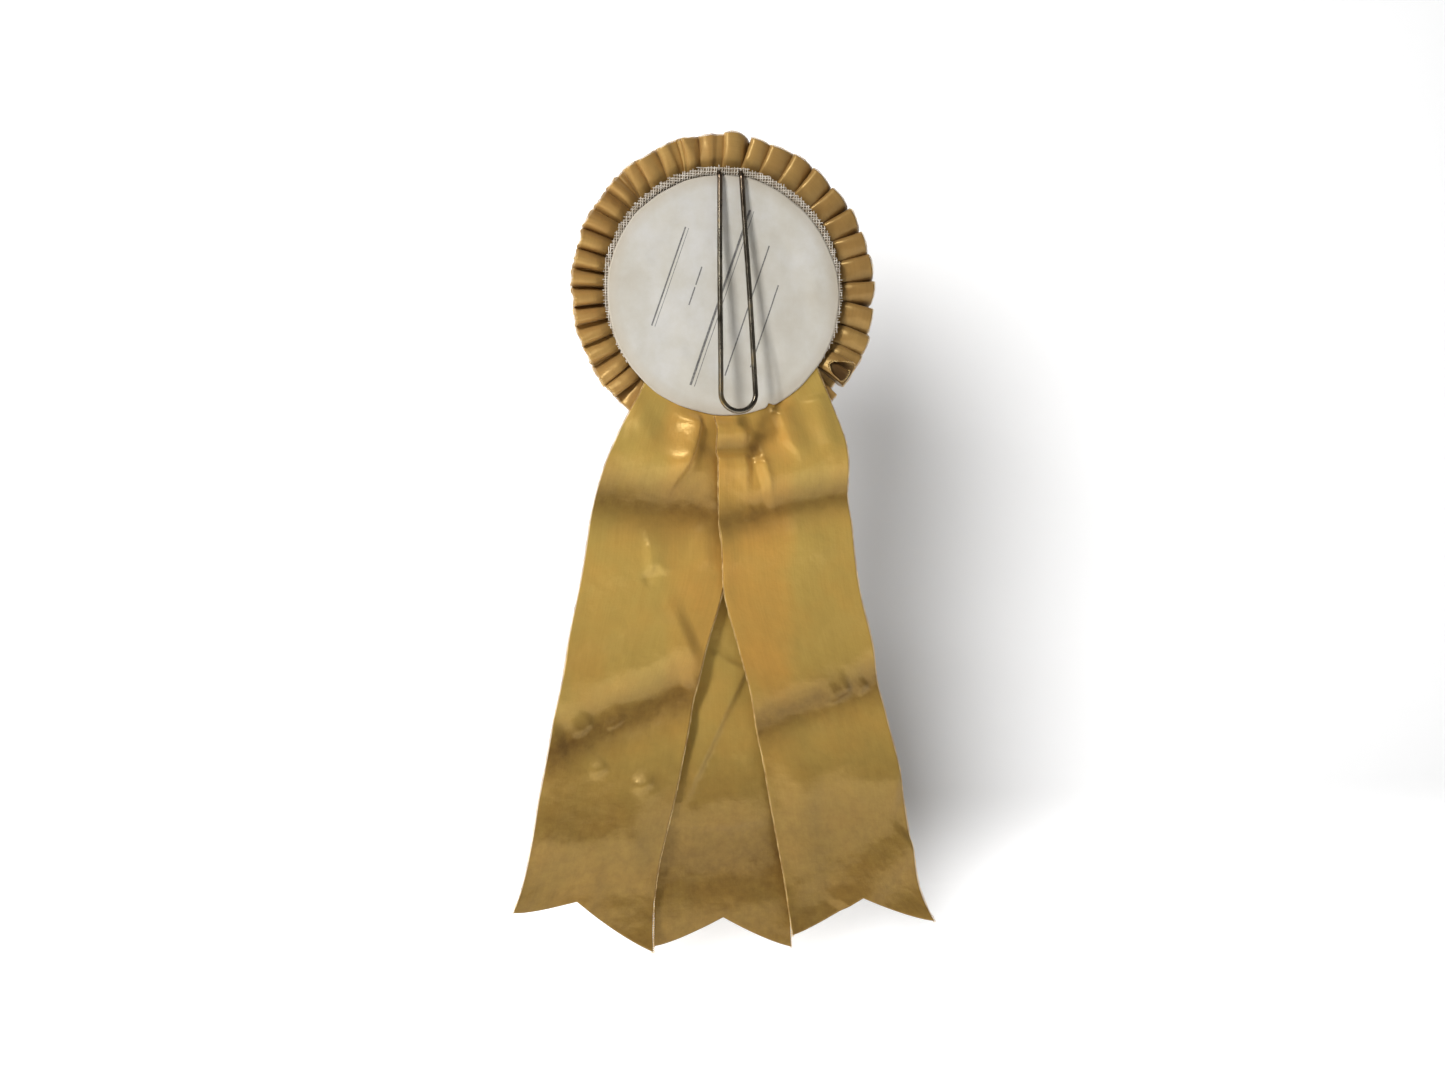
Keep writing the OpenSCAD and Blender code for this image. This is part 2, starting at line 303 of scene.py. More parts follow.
# The threads of the rim: cotton crossing over and under, cut ragged at the edge of the disc.
buckram_thread, tree, shader = new_material("coarse cotton thread", Roughness=0.85)
shader.inputs["Sheen Weight"].default_value = 0.2
fuzz = add(tree, "ShaderNodeTexNoise", {"Vector": add(tree, "ShaderNodeTexCoord").outputs["Object"],
                                        "Scale": 450.0, "Detail": 3.0})
tone = add(tree, "ShaderNodeValToRGB", {0: fuzz.outputs[0]})
tone.color_ramp.elements[0].position = 0.3
tone.color_ramp.elements[0].color = colour("#b7a78f")
tone.color_ramp.elements[1].position = 0.7
tone.color_ramp.elements[1].color = colour("#f0e8da")
tree.links.new(tone.outputs[0], shader.inputs["Base Color"])


def group_tree(name, *named_inputs):
    """A Geometry Nodes tree with a geometry input and output, and the named inputs given as pairs."""
    made = bpy.data.node_groups.new(name, "GeometryNodeTree")
    made.interface.new_socket("Geometry", in_out="INPUT", socket_type="NodeSocketGeometry")
    for label, kind in named_inputs:
        made.interface.new_socket(label, in_out="INPUT", socket_type=kind)
    made.interface.new_socket("Geometry", in_out="OUTPUT", socket_type="NodeSocketGeometry")
    return made, add(made, "NodeGroupInput").outputs


def run_tree(made, tree, **values):
    """Runs a Geometry Nodes tree on an object and leaves the result as its plain mesh."""
    modifier = made.modifiers.new(tree.name, "NODES")
    modifier.node_group = tree
    for item in tree.interface.items_tree:
        if item.in_out == "INPUT" and item.name.replace(" ", "_") in values:
            modifier[item.identifier] = values[item.name.replace(" ", "_")]
    made.update_tag()
    bpy.context.view_layer.update()
    plain_mesh(made)


thread_tree, given = group_tree(
    "tubes along edges", ("Radius", "NodeSocketFloat"), ("Sides", "NodeSocketInt"),
    ("Material", "NodeSocketMaterial"),
)
lines = add(thread_tree, "GeometryNodeMeshToCurve", {"Mesh": given["Geometry"]})
ring = add(thread_tree, "GeometryNodeCurvePrimitiveCircle",
           {"Radius": given["Radius"], "Resolution": given["Sides"]})
tubes = add(thread_tree, "GeometryNodeCurveToMesh",
            {"Curve": lines.outputs[0], "Profile Curve": ring.outputs[0], "Fill Caps": True})
real = add(thread_tree, "GeometryNodeRealizeInstances", {0: tubes.outputs[0]})
dyed = add(thread_tree, "GeometryNodeSetMaterial",
           {"Geometry": real.outputs[0], "Material": given["Material"]})
add(thread_tree, "NodeGroupOutput", {0: dyed.outputs[0]})

draw = np.random.default_rng(11)
thread_points, thread_edges = [], []
half_count = int(buckram_r / thread_pitch) + 1
for across in (0, 1):
    for row in range(-half_count, half_count + 1):
        offset = row * thread_pitch + 0.12 * draw.normal()
        fray = draw.uniform(-0.3, 0.6, 2)
        if abs(offset) > buckram_r:
            continue
        for side in (-1, 1):
            outer = math.sqrt(max(0.0, (buckram_r + fray[max(side, 0)]) ** 2 - offset**2))
            inner = math.sqrt(max(0.0, (buckram_r - 3.2) ** 2 - offset**2))
            steps = int((outer - inner) / (thread_pitch / 2)) + 1
            along = side * np.linspace(inner, outer, steps + 1)
            x = disc_x + (along if across else np.full_like(along, offset))
            z = disc_z + (np.full_like(along, offset) if across else along)
            turn = np.degrees(np.arctan2(z - disc_z, x - disc_x)) % 360
            if np.all((turn > 216) & (turn < 330)):
                continue
            over = np.cos(math.pi * (along / thread_pitch + row)) * (1 if across else -1)
            y = buckram_rear(x, z) - 0.2 - 0.1 * over
            start = len(thread_points)
            thread_points += np.stack([x, y, z], -1).tolist()
            thread_edges += [[start + i, start + i + 1] for i in range(steps)]
weave_rim = mesh_object("rear_buckram_threads", thread_points, [], thread_edges)
run_tree(weave_rim, thread_tree, Radius=thread_r / 1000, Sides=4, Material=buckram_thread)
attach(weave_rim, "rosette")

# ---- Wire clip ----
# One length of hard-drawn brassed wire bent into a hairpin that slides over a pocket's edge. Its ends
# hook over the top of the buckram and are lashed down in front of it, and the wire has gone dull.

wire_r = 0.93
clip_y = -1.25
hook_y = 1.325
hook_z = -2.6
hook_r = 2.575
leg_x = 4.0
bend_r = 6.3
leg_drop = 75.6
lean = math.radians(6.2)

clip_wire, tree, shader = new_material("tarnished brassed steel wire", Metallic=1.0)
place = add(tree, "ShaderNodeTexCoord").outputs["Object"]
blotches = add(tree, "ShaderNodeTexNoise", {"Vector": place, "Scale": 90.0, "Detail": 4.0, "Roughness": 0.6})
tone = add(tree, "ShaderNodeValToRGB", {0: blotches.outputs[0]})
for position, code in [(0.32, "#4a443a"), (0.48, "#6c6558"), (0.6, "#837b6b"), (0.72, "#8d764b")]:
    stop = tone.color_ramp.elements.new(position)
    stop.color = colour(code)
tone.color_ramp.elements.remove(tone.color_ramp.elements[0])
tone.color_ramp.elements.remove(tone.color_ramp.elements[-1])
height_m = add(tree, "ShaderNodeSeparateXYZ", {0: place}).outputs["Z"]
near_top = add(tree, "ShaderNodeMapRange",
               {"Value": height_m, "From Min": -0.022, "From Max": -0.003, "To Min": 0.0, "To Max": 0.85})
rust = add(tree, "ShaderNodeMath", {0: near_top.outputs[0], 1: blotches.outputs[0]}, operation="MULTIPLY")
rusty = add(tree, "ShaderNodeMix", {0: rust.outputs[0], 6: tone.outputs[0], 7: colour("#5a3a22")},
            data_type="RGBA")
tree.links.new(rusty.outputs[2], shader.inputs["Base Color"])
dull = add(tree, "ShaderNodeMapRange",
           {"Value": blotches.outputs[0], "From Min": 0.3, "From Max": 0.7, "To Min": 0.2, "To Max": 0.34})
tree.links.new(dull.outputs[0], shader.inputs["Roughness"])
scratch = add(tree, "ShaderNodeTexNoise",
              {"Vector": add(tree, "ShaderNodeMapping", {"Vector": place, "Scale": (1, 1, 0.12)}).outputs[0],
               "Scale": 1800.0, "Detail": 2.0})
bump = add(tree, "ShaderNodeBump", {"Height": scratch.outputs[0], "Strength": 0.25, "Distance": 0.0001})
tree.links.new(bump.outputs[0], shader.inputs["Normal"])

leg = np.linspace(0, 1, 60)
side_path = [[leg_x, hook_y - hook_r * math.cos(a), hook_z + hook_r * math.sin(a)]
             for a in np.linspace(math.radians(108), math.radians(4), 16)]
for share in leg:
    local_z = -leg_drop * share
    bow = 0.16 * math.sin(math.pi * share) ** 2
    side_path.append([leg_x + (bend_r - leg_x) * share + bow, clip_y + local_z * math.sin(lean) - 0.25 * bow,
                      hook_z + local_z * math.cos(lean)])
bend_path = []
for a in np.linspace(0, math.pi, 42)[1:-1]:
    local_z = -leg_drop - bend_r * math.sin(a)
    bend_path.append([bend_r * math.cos(a), clip_y + local_z * math.sin(lean),
                      hook_z + local_z * math.cos(lean)])
mirrored = [[-x, y, z] for x, y, z in reversed(side_path)]
hairpin = np.array(side_path + bend_path + mirrored)
swayed = smooth(hook_z - hairpin[:, 2], 0, leg_drop)
hairpin = hairpin + swayed[:, None] * [0.5, 0, -0.9]
clip = mesh_object("pocket_clip_wire", hairpin, [], [[i, i + 1] for i in range(len(hairpin) - 1)])
run_tree(clip, thread_tree, Radius=wire_r / 1000, Sides=16, Material=clip_wire)
clip.data.shade_smooth()
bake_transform(clip)
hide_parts("wire_clip")
nodes["clip_anchor"].data.materials.clear()
nodes["clip_anchor"].data.materials.append(clip_wire)

# Waxed cotton thread is wound round the wire's hidden ends.
wound_thread, tree, shader = new_material("waxed cotton thread", Roughness=0.7)
shader.inputs["Sheen Weight"].default_value = 0.2
twist = add(tree, "ShaderNodeTexWave", {"Vector": add(tree, "ShaderNodeTexCoord").outputs["Object"],
                                        "Scale": 900.0, "Distortion": 1.0})
tone = add(tree, "ShaderNodeValToRGB", {0: twist.outputs[0]})
tone.color_ramp.elements[0].color = colour("#a8966f")
tone.color_ramp.elements[1].color = colour("#e2d7b8")
tree.links.new(tone.outputs[0], shader.inputs["Base Color"])
nodes["clip_binding"].data.materials.clear()
nodes["clip_binding"].data.materials.append(wound_thread)

# ---- Paper label ----
# A disc of thin uncoated paper pasted over the back to hide the sewing. It has yellowed and cockled,
# its rim rolls over the layers beneath, and the lower right edge is nicked where a pinched tail lifts it.

label_x = 500 * (label_low.x + label_high.x)
label_z = 500 * (label_low.z + label_high.z)
label_r = 500 * (label_high.x - label_low.x)
label_t = 0.22
nick_turn = math.radians(-66.7)


def near_path(x, z, path):
    """For points x, z: distance to a path in mm, how far to its left, and the share of it passed."""
    corners = np.array(path, float)
    lengths = np.hypot(*np.diff(corners, axis=0).T)
    before = np.concatenate([[0], np.cumsum(lengths)])
    best = np.full(np.shape(x), 1e9)
    left, passed = np.zeros_like(best), np.zeros_like(best)
    for (x0, z0), (x1, z1), length, start in zip(corners, corners[1:], lengths, before):
        t = ((x - x0) * (x1 - x0) + (z - z0) * (z1 - z0)) / length**2
        held = np.clip(t, 0, 1)
        away = np.hypot(x - x0 - held * (x1 - x0), z - z0 - held * (z1 - z0))
        closer = away < best
        best = np.where(closer, away, best)
        left = np.where(closer, ((x1 - x0) * (z - z0) - (z1 - z0) * (x - x0)) / length, left)
        passed = np.where(closer, (start + held * length) / before[-1], passed)
    return best, left, passed


def fold(x, z, path, height, widths, fades=(0.25, 0.25)):
    """A ridge along a path. widths are its right and left flanks' as one goes along the path, and fades
    are the shares of its length over which it rises and sinks; an end with none is rounded off."""
    away, left, passed = near_path(x, z, path)
    width = widths[0] + (widths[1] - widths[0]) * smooth(left, -0.6, 0.6)
    ridge = height * np.exp(-((away / width) ** 2))
    if fades[0]:
        ridge = ridge * smooth(passed, 0, fades[0])
    if fades[1]:
        ridge = ridge * smooth(1 - passed, 0, fades[1])
    return ridge


def label_rim(turn):
    """Radius of the label's cut edge, a little uneven, with one nick."""
    wander = 0.12 * np.sin(5 * turn + 1) + 0.1 * np.sin(11 * turn) + 0.05 * np.sin(23 * turn + 2)
    from_nick = (turn - nick_turn + math.pi) % (2 * math.pi) - math.pi
    nick = 1.3 * np.exp(-((from_nick / 0.022) ** 2))
    return label_r - 0.1 + wander - nick


def label_rear(x, z):
    """Y of the paper's rear face."""
    r = np.hypot(x - label_x, z - label_z)
    cockle = 0.26 * rough(x, z, 15.0, 1.0) + 0.1 * rough(x, z, 6.0, 2.0)
    rolled = 0.28 * smooth(r, label_r - 3.5, label_r)
    lift = fold(x, z, [(13.5, -58), (15.4, -66), (17.0, -76), (17.4, -83)], 0.55, (0.9, 1.6), (0.5, 0.05))
    lift = lift + fold(x, z, [(-20, -60), (-14, -70), (-11, -80)], 0.18, (3, 3))
    lift = lift + fold(x, z, [(-31, -30), (-22, -17), (-14, -10)], 0.2, (2.5, 4))
    lift = lift + fold(x, z, [(22, -20), (30, -32), (33, -48)], 0.18, (3, 5))
    return 0.04 - 0.5 * label_t + cockle * smooth(r, label_r, label_r - 8) + rolled - lift


# Printed matter is replaced by plain tilted rules: (across, along, half sizes) in mm,
# measured from the label's middle along axes turned by print_tilt.
label_paper, tree, shader = new_material("old uncoated printing paper", Roughness=0.78)
shader.inputs["Specular IOR Level"].default_value = 0.35
place = add(tree, "ShaderNodeTexCoord").outputs["Object"]
clouds = add(tree, "ShaderNodeTexNoise", {"Vector": place, "Scale": 30.0, "Detail": 7.0, "Roughness": 0.68})
tone = add(tree, "ShaderNodeValToRGB", {0: clouds.outputs[0]})
for position, code in [(0.3, "#c9c1b1"), (0.5, "#d3cec2"), (0.68, "#dddad4")]:
    stop = tone.color_ramp.elements.new(position)
    stop.color = colour(code)
tone.color_ramp.elements.remove(tone.color_ramp.elements[0])
tone.color_ramp.elements.remove(tone.color_ramp.elements[-1])
from_middle = add(tree, "ShaderNodeVectorMath",
                  {0: place, 1: (label_x / 1000, 0, label_z / 1000)}, operation="SUBTRACT")
flattened = add(tree, "ShaderNodeVectorMath", {0: from_middle.outputs[0], 1: (1, 0, 1)}, operation="MULTIPLY")
to_rim = add(tree, "ShaderNodeVectorMath", {0: flattened.outputs[0]}, operation="LENGTH")
browned = add(tree, "ShaderNodeMapRange",
              {"Value": to_rim.outputs["Value"], "From Min": (label_r - 5) / 1000, "From Max": label_r / 1000,
               "To Min": 0.0, "To Max": 0.4})
aged = add(tree, "ShaderNodeMix", {0: browned.outputs[0], 6: tone.outputs[0], 7: colour("#b9a587")},
           data_type="RGBA")
fibres = add(tree, "ShaderNodeTexNoise", {"Vector": place, "Scale": 1500.0, "Detail": 4.0, "Roughness": 0.7})
print_tilt = math.radians(70.7)
turned = add(tree, "ShaderNodeVectorRotate",
             {"Vector": flattened.outputs[0], "Axis": (0, 1, 0), "Angle": print_tilt},
             rotation_type="AXIS_ANGLE")
ink = None
for along, across, half_long, half_wide in [
    (-0.8, 21.2, 18.5, 0.28), (-0.8, 20.0, 18.5, 0.1), (-1.2, 1.2, 33.0, 0.42), (-1.2, -0.3, 33.0, 0.12),
    (-2.2, -9.6, 24.5, 0.24), (-5.2, -17.4, 15.5, 0.24), (3.2, 11.0, 3.4, 0.24), (-4.4, 11.0, 3.4, 0.24),
]:
    shifted = add(tree, "ShaderNodeVectorMath",
                  {0: turned.outputs[0], 1: (along / 1000, 0, across / 1000)}, operation="SUBTRACT")
    size = add(tree, "ShaderNodeVectorMath", {0: shifted.outputs[0]}, operation="ABSOLUTE")
    parts = add(tree, "ShaderNodeSeparateXYZ", {0: size.outputs[0]})
    inside_long = add(tree, "ShaderNodeMath", {0: parts.outputs["X"], 1: half_long / 1000},
                      operation="LESS_THAN")
    inside_wide = add(tree, "ShaderNodeMath", {0: parts.outputs["Z"], 1: half_wide / 1000},
                      operation="LESS_THAN")
    rule = add(tree, "ShaderNodeMath", {0: inside_long.outputs[0], 1: inside_wide.outputs[0]},
               operation="MULTIPLY").outputs[0]
    ink = rule if ink is None else add(
        tree, "ShaderNodeMath", {0: ink, 1: rule}, operation="MAXIMUM").outputs[0]
worn_ink = add(tree, "ShaderNodeMapRange",
               {"Value": fibres.outputs[0], "From Min": 0.3, "From Max": 0.6, "To Min": 0.5, "To Max": 0.9})
ink_share = add(tree, "ShaderNodeMath", {0: ink, 1: worn_ink.outputs[0]}, operation="MULTIPLY")
printed = add(tree, "ShaderNodeMix", {0: ink_share.outputs[0], 6: aged.outputs[2], 7: colour("#3c3a3e")},
              data_type="RGBA")
tree.links.new(printed.outputs[2], shader.inputs["Base Color"])
bump = add(tree, "ShaderNodeBump", {"Height": fibres.outputs[0], "Strength": 0.12, "Distance": 0.0001})
tree.links.new(bump.outputs[0], shader.inputs["Normal"])

label = disc_object("paper_back_label", label_x, label_z, label_rim, 60, 360, label_rear)
label.data.materials.append(label_paper)
thicken(label, label_t, -1)
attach(label, "rosette")
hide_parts("back_label")

# ---- Ribbon tails ----
# Three lengths of 50.8 mm satin ribbon with picot selvedges, cut to a V at their ends. Each is pinched in
# and sewn under the label, so it leaves the rosette in soft folds, and it has creased where it was kept.

ribbon_w = 50.8
ribbon_t = 0.34
sewn_z = -66.0
fold_z = {"left": -90.0, "right": -90.0, "centre": -99.0}
notch = 10.3
lowest_z = 1000 * cad_low.z
tail_y = {"left": 0.8, "right": 0.8, "centre": 1.55}
tail_tips = {
    "left": (-258.8, lowest_z + 1), "right": (lowest_z + 5, -267.0), "centre": (lowest_z + 2, lowest_z)
}
corner_curl = {"left": 3.0, "right": 3.0, "centre": 0.4}
tail_edges = {
    "left": (
        [(-300, -97), (-275, -86), (-259, -78.0), (-250, -74.2), (-236, -71.5), (-218, -68.5), (-180, -60.7),
         (-148, -54), (-122, -49.6), (-101, -44.9), (-89, -38.8), (-74.5, -30), (-60, -25)],
        [(-300, -28.6), (-274, -28.3), (-261, -27.8), (-246, -26.0), (-212, -18.8), (-186, -13.1),
         (-167, -8.3), (-150, -2.8), (-140, -0.6), (-110, -2.2), (-90, -3.0), (-60, -4)],
    ),
    "right": (
        [(-300, 23.6), (-269, 23.0), (-250, 20.8), (-221, 14.5), (-195, 9.6), (-169, 3.9), (-149, -2.2),
         (-110, -4.3), (-90, -5.2), (-60, -6)],
        [(-300, 93), (-280, 83), (-267, 75.6), (-257, 71.3), (-243, 68.4), (-204, 60.6), (-171, 52.3),
         (-148, 48), (-120, 44.4), (-106, 43.4), (-90, 40.9), (-71, 33), (-60, 29)],
    ),
    "centre": (
        [(-300, -26.2), (-280, -26.2), (-190, -26.6), (-99, -24), (-60, -19)],
        [(-300, 24.6), (-280, 24.3), (-230, 22.8), (-190, 22.4), (-99, 20), (-60, 15)],
    ),
}
# Each fold is (path of x and z, height towards the rear, right and left flank widths, fades at its ends).
tail_folds = {
    "left": [
        ([(-12.3, -82), (-11.9, -90), (-14.2, -97), (-17.5, -104), (-21, -110), (-23, -116)], 3.8, (5.2, 1.5),
         (0, 0.5)),
        ([(-52, -97), (-38, -97), (-25, -101), (-3, -105)], 4.6, (10.5, 9.0), (0, 0)),
        ([(-52, -120), (-30, -122), (-3, -123)], -1.6, (9.0, 10.0), (0, 0)),
        ([(-38, -76), (-34, -85), (-26, -96)], 1.5, (5.0, 5.0), (0.2, 0.4)),
        ([(-30.0, -124), (-28.5, -134), (-27.5, -144)], 1.5, (2.2, 6.0), (0.5, 0.2)),
        ([(-31.5, -145.5), (-25, -138.5)], -0.8, (2.2, 1.8), (0.3, 0.3)),
        ([(-9, -122), (-8, -142)], 1.1, (4.0, 4.0), (0.3, 0.3)),
        ([(-70, -181), (-40, -174), (-12, -162)], 3.4, (11.0, 12.0), (0.05, 0.1)),
        ([(-64, -199), (-40, -192), (-12, -180)], -2.0, (8.0, 7.0), (0.1, 0.1)),
        ([(-58.5, -198.5), (-53, -196), (-48.5, -192)], 1.3, (2.0, 4.5), (0.4, 0.3)),
        ([(-46.5, -196.5), (-41, -194), (-35.5, -190)], 1.4, (1.8, 4.5), (0.3, 0.4)),
        ([(-51.5, -212), (-43.5, -208.5)], 1.0, (1.6, 3.0), (0.4, 0.4)),
        ([(-36.5, -218), (-27.5, -213.5)], 1.0, (1.6, 3.0), (0.4, 0.4)),
        ([(-74, -232), (-52, -238), (-30, -232)], 2.0, (9.0, 10.0), (0.2, 0.2)),
        ([(-52, -260), (-46, -236)], 1.4, (4.0, 6.0), (0, 0.6)),
        ([(-30, -205), (-33, -235), (-36, -255)], 1.2, (6.0, 6.0), (0.3, 0.2)),
    ],
    "right": [
        ([(-10, -91.5), (2, -91.5), (9, -91)], 2.8, (5.0, 4.5), (0, 0.25)),
        ([(-10, -101.6), (2, -101.4), (8.6, -101)], 2.7, (10.0, 1.6), (0, 0.2)),
        ([(16.8, -83.5), (19.6, -89), (20.8, -94), (24, -98), (27, -104)], 3.0, (2.0, 6.0), (0, 0.5)),
        ([(10.2, -100), (11.8, -108), (12.5, -118)], 1.8, (8.0, 2.4), (0.15, 0.4)),
        ([(10, -107), (28, -102), (48, -98)], 4.4, (10.0, 10.5), (0.1, 0)),
        ([(-10, -126), (10, -122), (24, -118.5), (50, -114)], -1.6, (6.5, 6.5), (0, 0)),
        ([(-10, -135), (20, -130), (52, -124)], 1.6, (10.0, 10.0), (0, 0)),
        ([(5.4, -123.5), (9.3, -118)], 0.7, (3.0, 1.4), (0.3, 0.3)),
        ([(31, -78), (35, -92), (38, -102)], 1.5, (4.5, 4.5), (0.1, 0.3)),
        ([(4, -184), (30, -176), (62, -163)], 3.4, (12.0, 12.0), (0, 0)),
        ([(4, -200), (29, -192), (60, -180)], -1.8, (6.5, 7.0), (0, 0)),
        ([(33.5, -187.5), (39, -185.5), (45.5, -181.5)], 1.7, (1.6, 4.0), (0.4, 0.3)),
        ([(46.5, -185), (51.5, -180.5)], 1.1, (1.6, 3.5), (0.4, 0.4)),
        ([(16, -218), (38, -212), (66, -216)], 1.9, (11.0, 11.0), (0.2, 0.1)),
        ([(46, -266), (56, -251), (70, -238)], 2.4, (6.0, 9.0), (0.1, 0.1)),
        ([(24, -205), (26, -235), (32, -262)], 1.4, (7.0, 7.0), (0.3, 0.2)),
    ],
    "centre": [
        ([(7, -174), (-13.2, -214), (-19, -228)], 1.9, (11.0, 2.0), (0.05, 0.4)),
        ([(-30, -226), (0, -228), (26, -226)], 2.2, (4.5, 12.0), (0, 0)),
        ([(-30, -262), (26, -258)], 1.6, (9.0, 9.0), (0, 0)),
    ],
}
# Painted shade along the hollows and valleys of the folds, where the satin is painted darker: (path, width,
# strength).
tail_painted_shade = {
    "left": [
        ([(-52, -114), (-30, -117), (-3, -119)], 10.0, 0.7),
        ([(-64, -203), (-40, -193), (-10, -182)], 7.5, 0.5),
        ([(-11, -97), (-7, -99)], 3.0, 0.3),
    ],
    "right": [
        ([(14.5, -84), (13, -87), (10.3, -93), (9.4, -99)], 3.0, 0.5),
        ([(-5, -97.2), (8.5, -97.0)], 3.0, 0.4),
        ([(-5, -124), (10, -121), (24, -117), (50, -112)], 6.5, 0.65),
        ([(8, -196), (29, -188), (60, -178)], 7.5, 0.5),
    ],
    "centre": [([(-26, -242), (22, -242)], 9.0, 0.12)],
}


def lookup(z, table):
    """Looks z up in a table of (z, value), with its corners rounded over a few millimetres."""
    heights, values = np.array(sorted(table), float).T
    return np.mean([np.interp(z + d, heights, values) for d in np.linspace(-5, 5, 9)], axis=0)


def hang(x, z):
    """The waves of the hanging ribbon, the same as the CAD tails keep."""
    below = np.maximum(0, fold_z["centre"] - z)
    wave = np.sin(np.radians(2.6 * below + 0.8 * x)) + 0.6 * np.sin(np.radians(5.1 * below + 40))
    return (1 - np.exp(-((below / 45) ** 2))) * 1.6 * wave


def sheet_object(name, points, flat):
    """A sheet of quads through a grid of points. flat says where each lies on the flat cloth, in mm."""
    rows, columns = points.shape[:2]
    corner = np.arange(rows * columns).reshape(rows, columns)
    quads = np.stack([corner[:-1, :-1], corner[:-1, 1:], corner[1:, 1:], corner[1:, :-1]], -1).reshape(-1, 4)
    made = mesh_object(name, points, quads.tolist())
    layout = made.data.uv_layers.new(name="ribbon")
    layout.uv.foreach_set("vector", flat.reshape(-1, 2)[quads.ravel()].ravel().astype(np.float32))
    made.data.shade_smooth()
    return made


def give(made, name, values):
    """Stores one number for each point of a mesh, for its material to read."""
    stored = made.data.attributes.new(name, "FLOAT", "POINT")
    stored.data.foreach_set("value", values.ravel().astype(np.float32))


# The last colour, dark, is the tone that the painted shade darkens the satin towards.
def satin(name, bright, warm, deep, dark):
    """Woven satin: floating threads run along the ribbon, so its gloss spreads across it."""
    made, tree, shader = new_material(name, Roughness=0.37, Anisotropic=0.6)
    shader.inputs["Sheen Weight"].default_value = 0.2
    shader.inputs["Sheen Roughness"].default_value = 0.4
    shader.inputs["Sheen Tint"].default_value = colour("#f5dca0")
    shader.inputs["Specular Tint"].default_value = colour("#ffdc96")
    shader.inputs["Specular IOR Level"].default_value = 1.0
    flat = add(tree, "ShaderNodeUVMap", uv_map="ribbon").outputs[0]
    along = add(tree, "ShaderNodeTangent", direction_type="UV_MAP", uv_map="ribbon")
    tree.links.new(along.outputs[0], shader.inputs["Tangent"])
    clouds = add(tree, "ShaderNodeTexNoise",
                 {"Vector": flat, "Scale": 0.045, "Detail": 3.0, "Roughness": 0.55})
    warmth_and_painted_light = add(tree, "ShaderNodeAttribute", attribute_name="warmth_and_painted_light").outputs["Fac"]
    cloudy = add(tree, "ShaderNodeMapRange",
                 {"Value": clouds.outputs[0], "From Min": 0.35, "From Max": 0.65,
                  "To Min": -0.3, "To Max": 0.3})
    warm_share = add(tree, "ShaderNodeMath", {0: warmth_and_painted_light, 1: cloudy.outputs[0]},
                     operation="ADD", use_clamp=True)
    hue = add(tree, "ShaderNodeMix", {0: warm_share.outputs[0], 6: colour(bright), 7: colour(warm)},
              data_type="RGBA")
    streaky = add(tree, "ShaderNodeMapping", {"Vector": flat, "Scale": (1.6, 0.05, 1)})
    streaks = add(tree, "ShaderNodeTexNoise", {"Vector": streaky.outputs[0], "Scale": 1.0, "Detail": 4.0})
    thin = add(tree, "ShaderNodeMapRange",
               {"Value": streaks.outputs[0], "From Min": 0.3, "From Max": 0.7, "To Min": 0.0, "To Max": 0.2})
    streaked = add(tree, "ShaderNodeMix", {0: thin.outputs[0], 6: hue.outputs[2], 7: colour(deep)},
                   data_type="RGBA")
    # Painted shade: a per-point attribute, made patchy by noise, darkens the satin towards its dark colour in
    # folds, pleat dives and low parts.
    painted_shade = add(tree, "ShaderNodeAttribute", attribute_name="painted_shade").outputs["Fac"]
    spots = add(tree, "ShaderNodeTexNoise", {"Vector": flat, "Scale": 0.25, "Detail": 5.0, "Roughness": 0.7})
    uneven = add(tree, "ShaderNodeMapRange",
                 {"Value": spots.outputs[0], "From Min": 0.3, "From Max": 0.7, "To Min": 0.88, "To Max": 1.1})
    patchy_shade = add(tree, "ShaderNodeMath", {0: painted_shade, 1: uneven.outputs[0]},
                 operation="MULTIPLY", use_clamp=True)
    shaded_colour = add(tree, "ShaderNodeMix", {0: patchy_shade.outputs[0], 6: streaked.outputs[2], 7: colour(dark)},
                data_type="RGBA")
    tree.links.new(shaded_colour.outputs[2], shader.inputs["Base Color"])
    # The weave is about 0.1 mm and is drawn at 0.45 mm, so that it shows.
    weave = []
    for scale, detail in [((1 / 0.45, 0.12, 1), 2.0), ((0.15, 1 / 0.6, 1), 1.0)]:
        stretched = add(tree, "ShaderNodeMapping", {"Vector": flat, "Scale": scale})
        weave.append(add(tree, "ShaderNodeTexNoise",
                         {"Vector": stretched.outputs[0], "Scale": 1.0, "Detail": detail}).outputs[0])
    woven = add(tree, "ShaderNodeMath", {0: weave[0], 1: weave[1]}, operation="ADD")
    crumple = add(tree, "ShaderNodeTexNoise", {"Vector": flat, "Scale": 0.3, "Detail": 3.0})
    soft = add(tree, "ShaderNodeBump", {"Height": crumple.outputs[0], "Strength": 0.35, "Distance": 0.0006})
    bump = add(tree, "ShaderNodeBump",
               {"Height": woven.outputs[0], "Strength": 0.22, "Distance": 0.0001, "Normal": soft.outputs[0]})
    tree.links.new(bump.outputs[0], shader.inputs["Normal"])
    return made


tail_satin = satin("gold satin ribbon of the tails", "#bfa052", "#d09d4c", "#a07c38", "#5a3f1b")

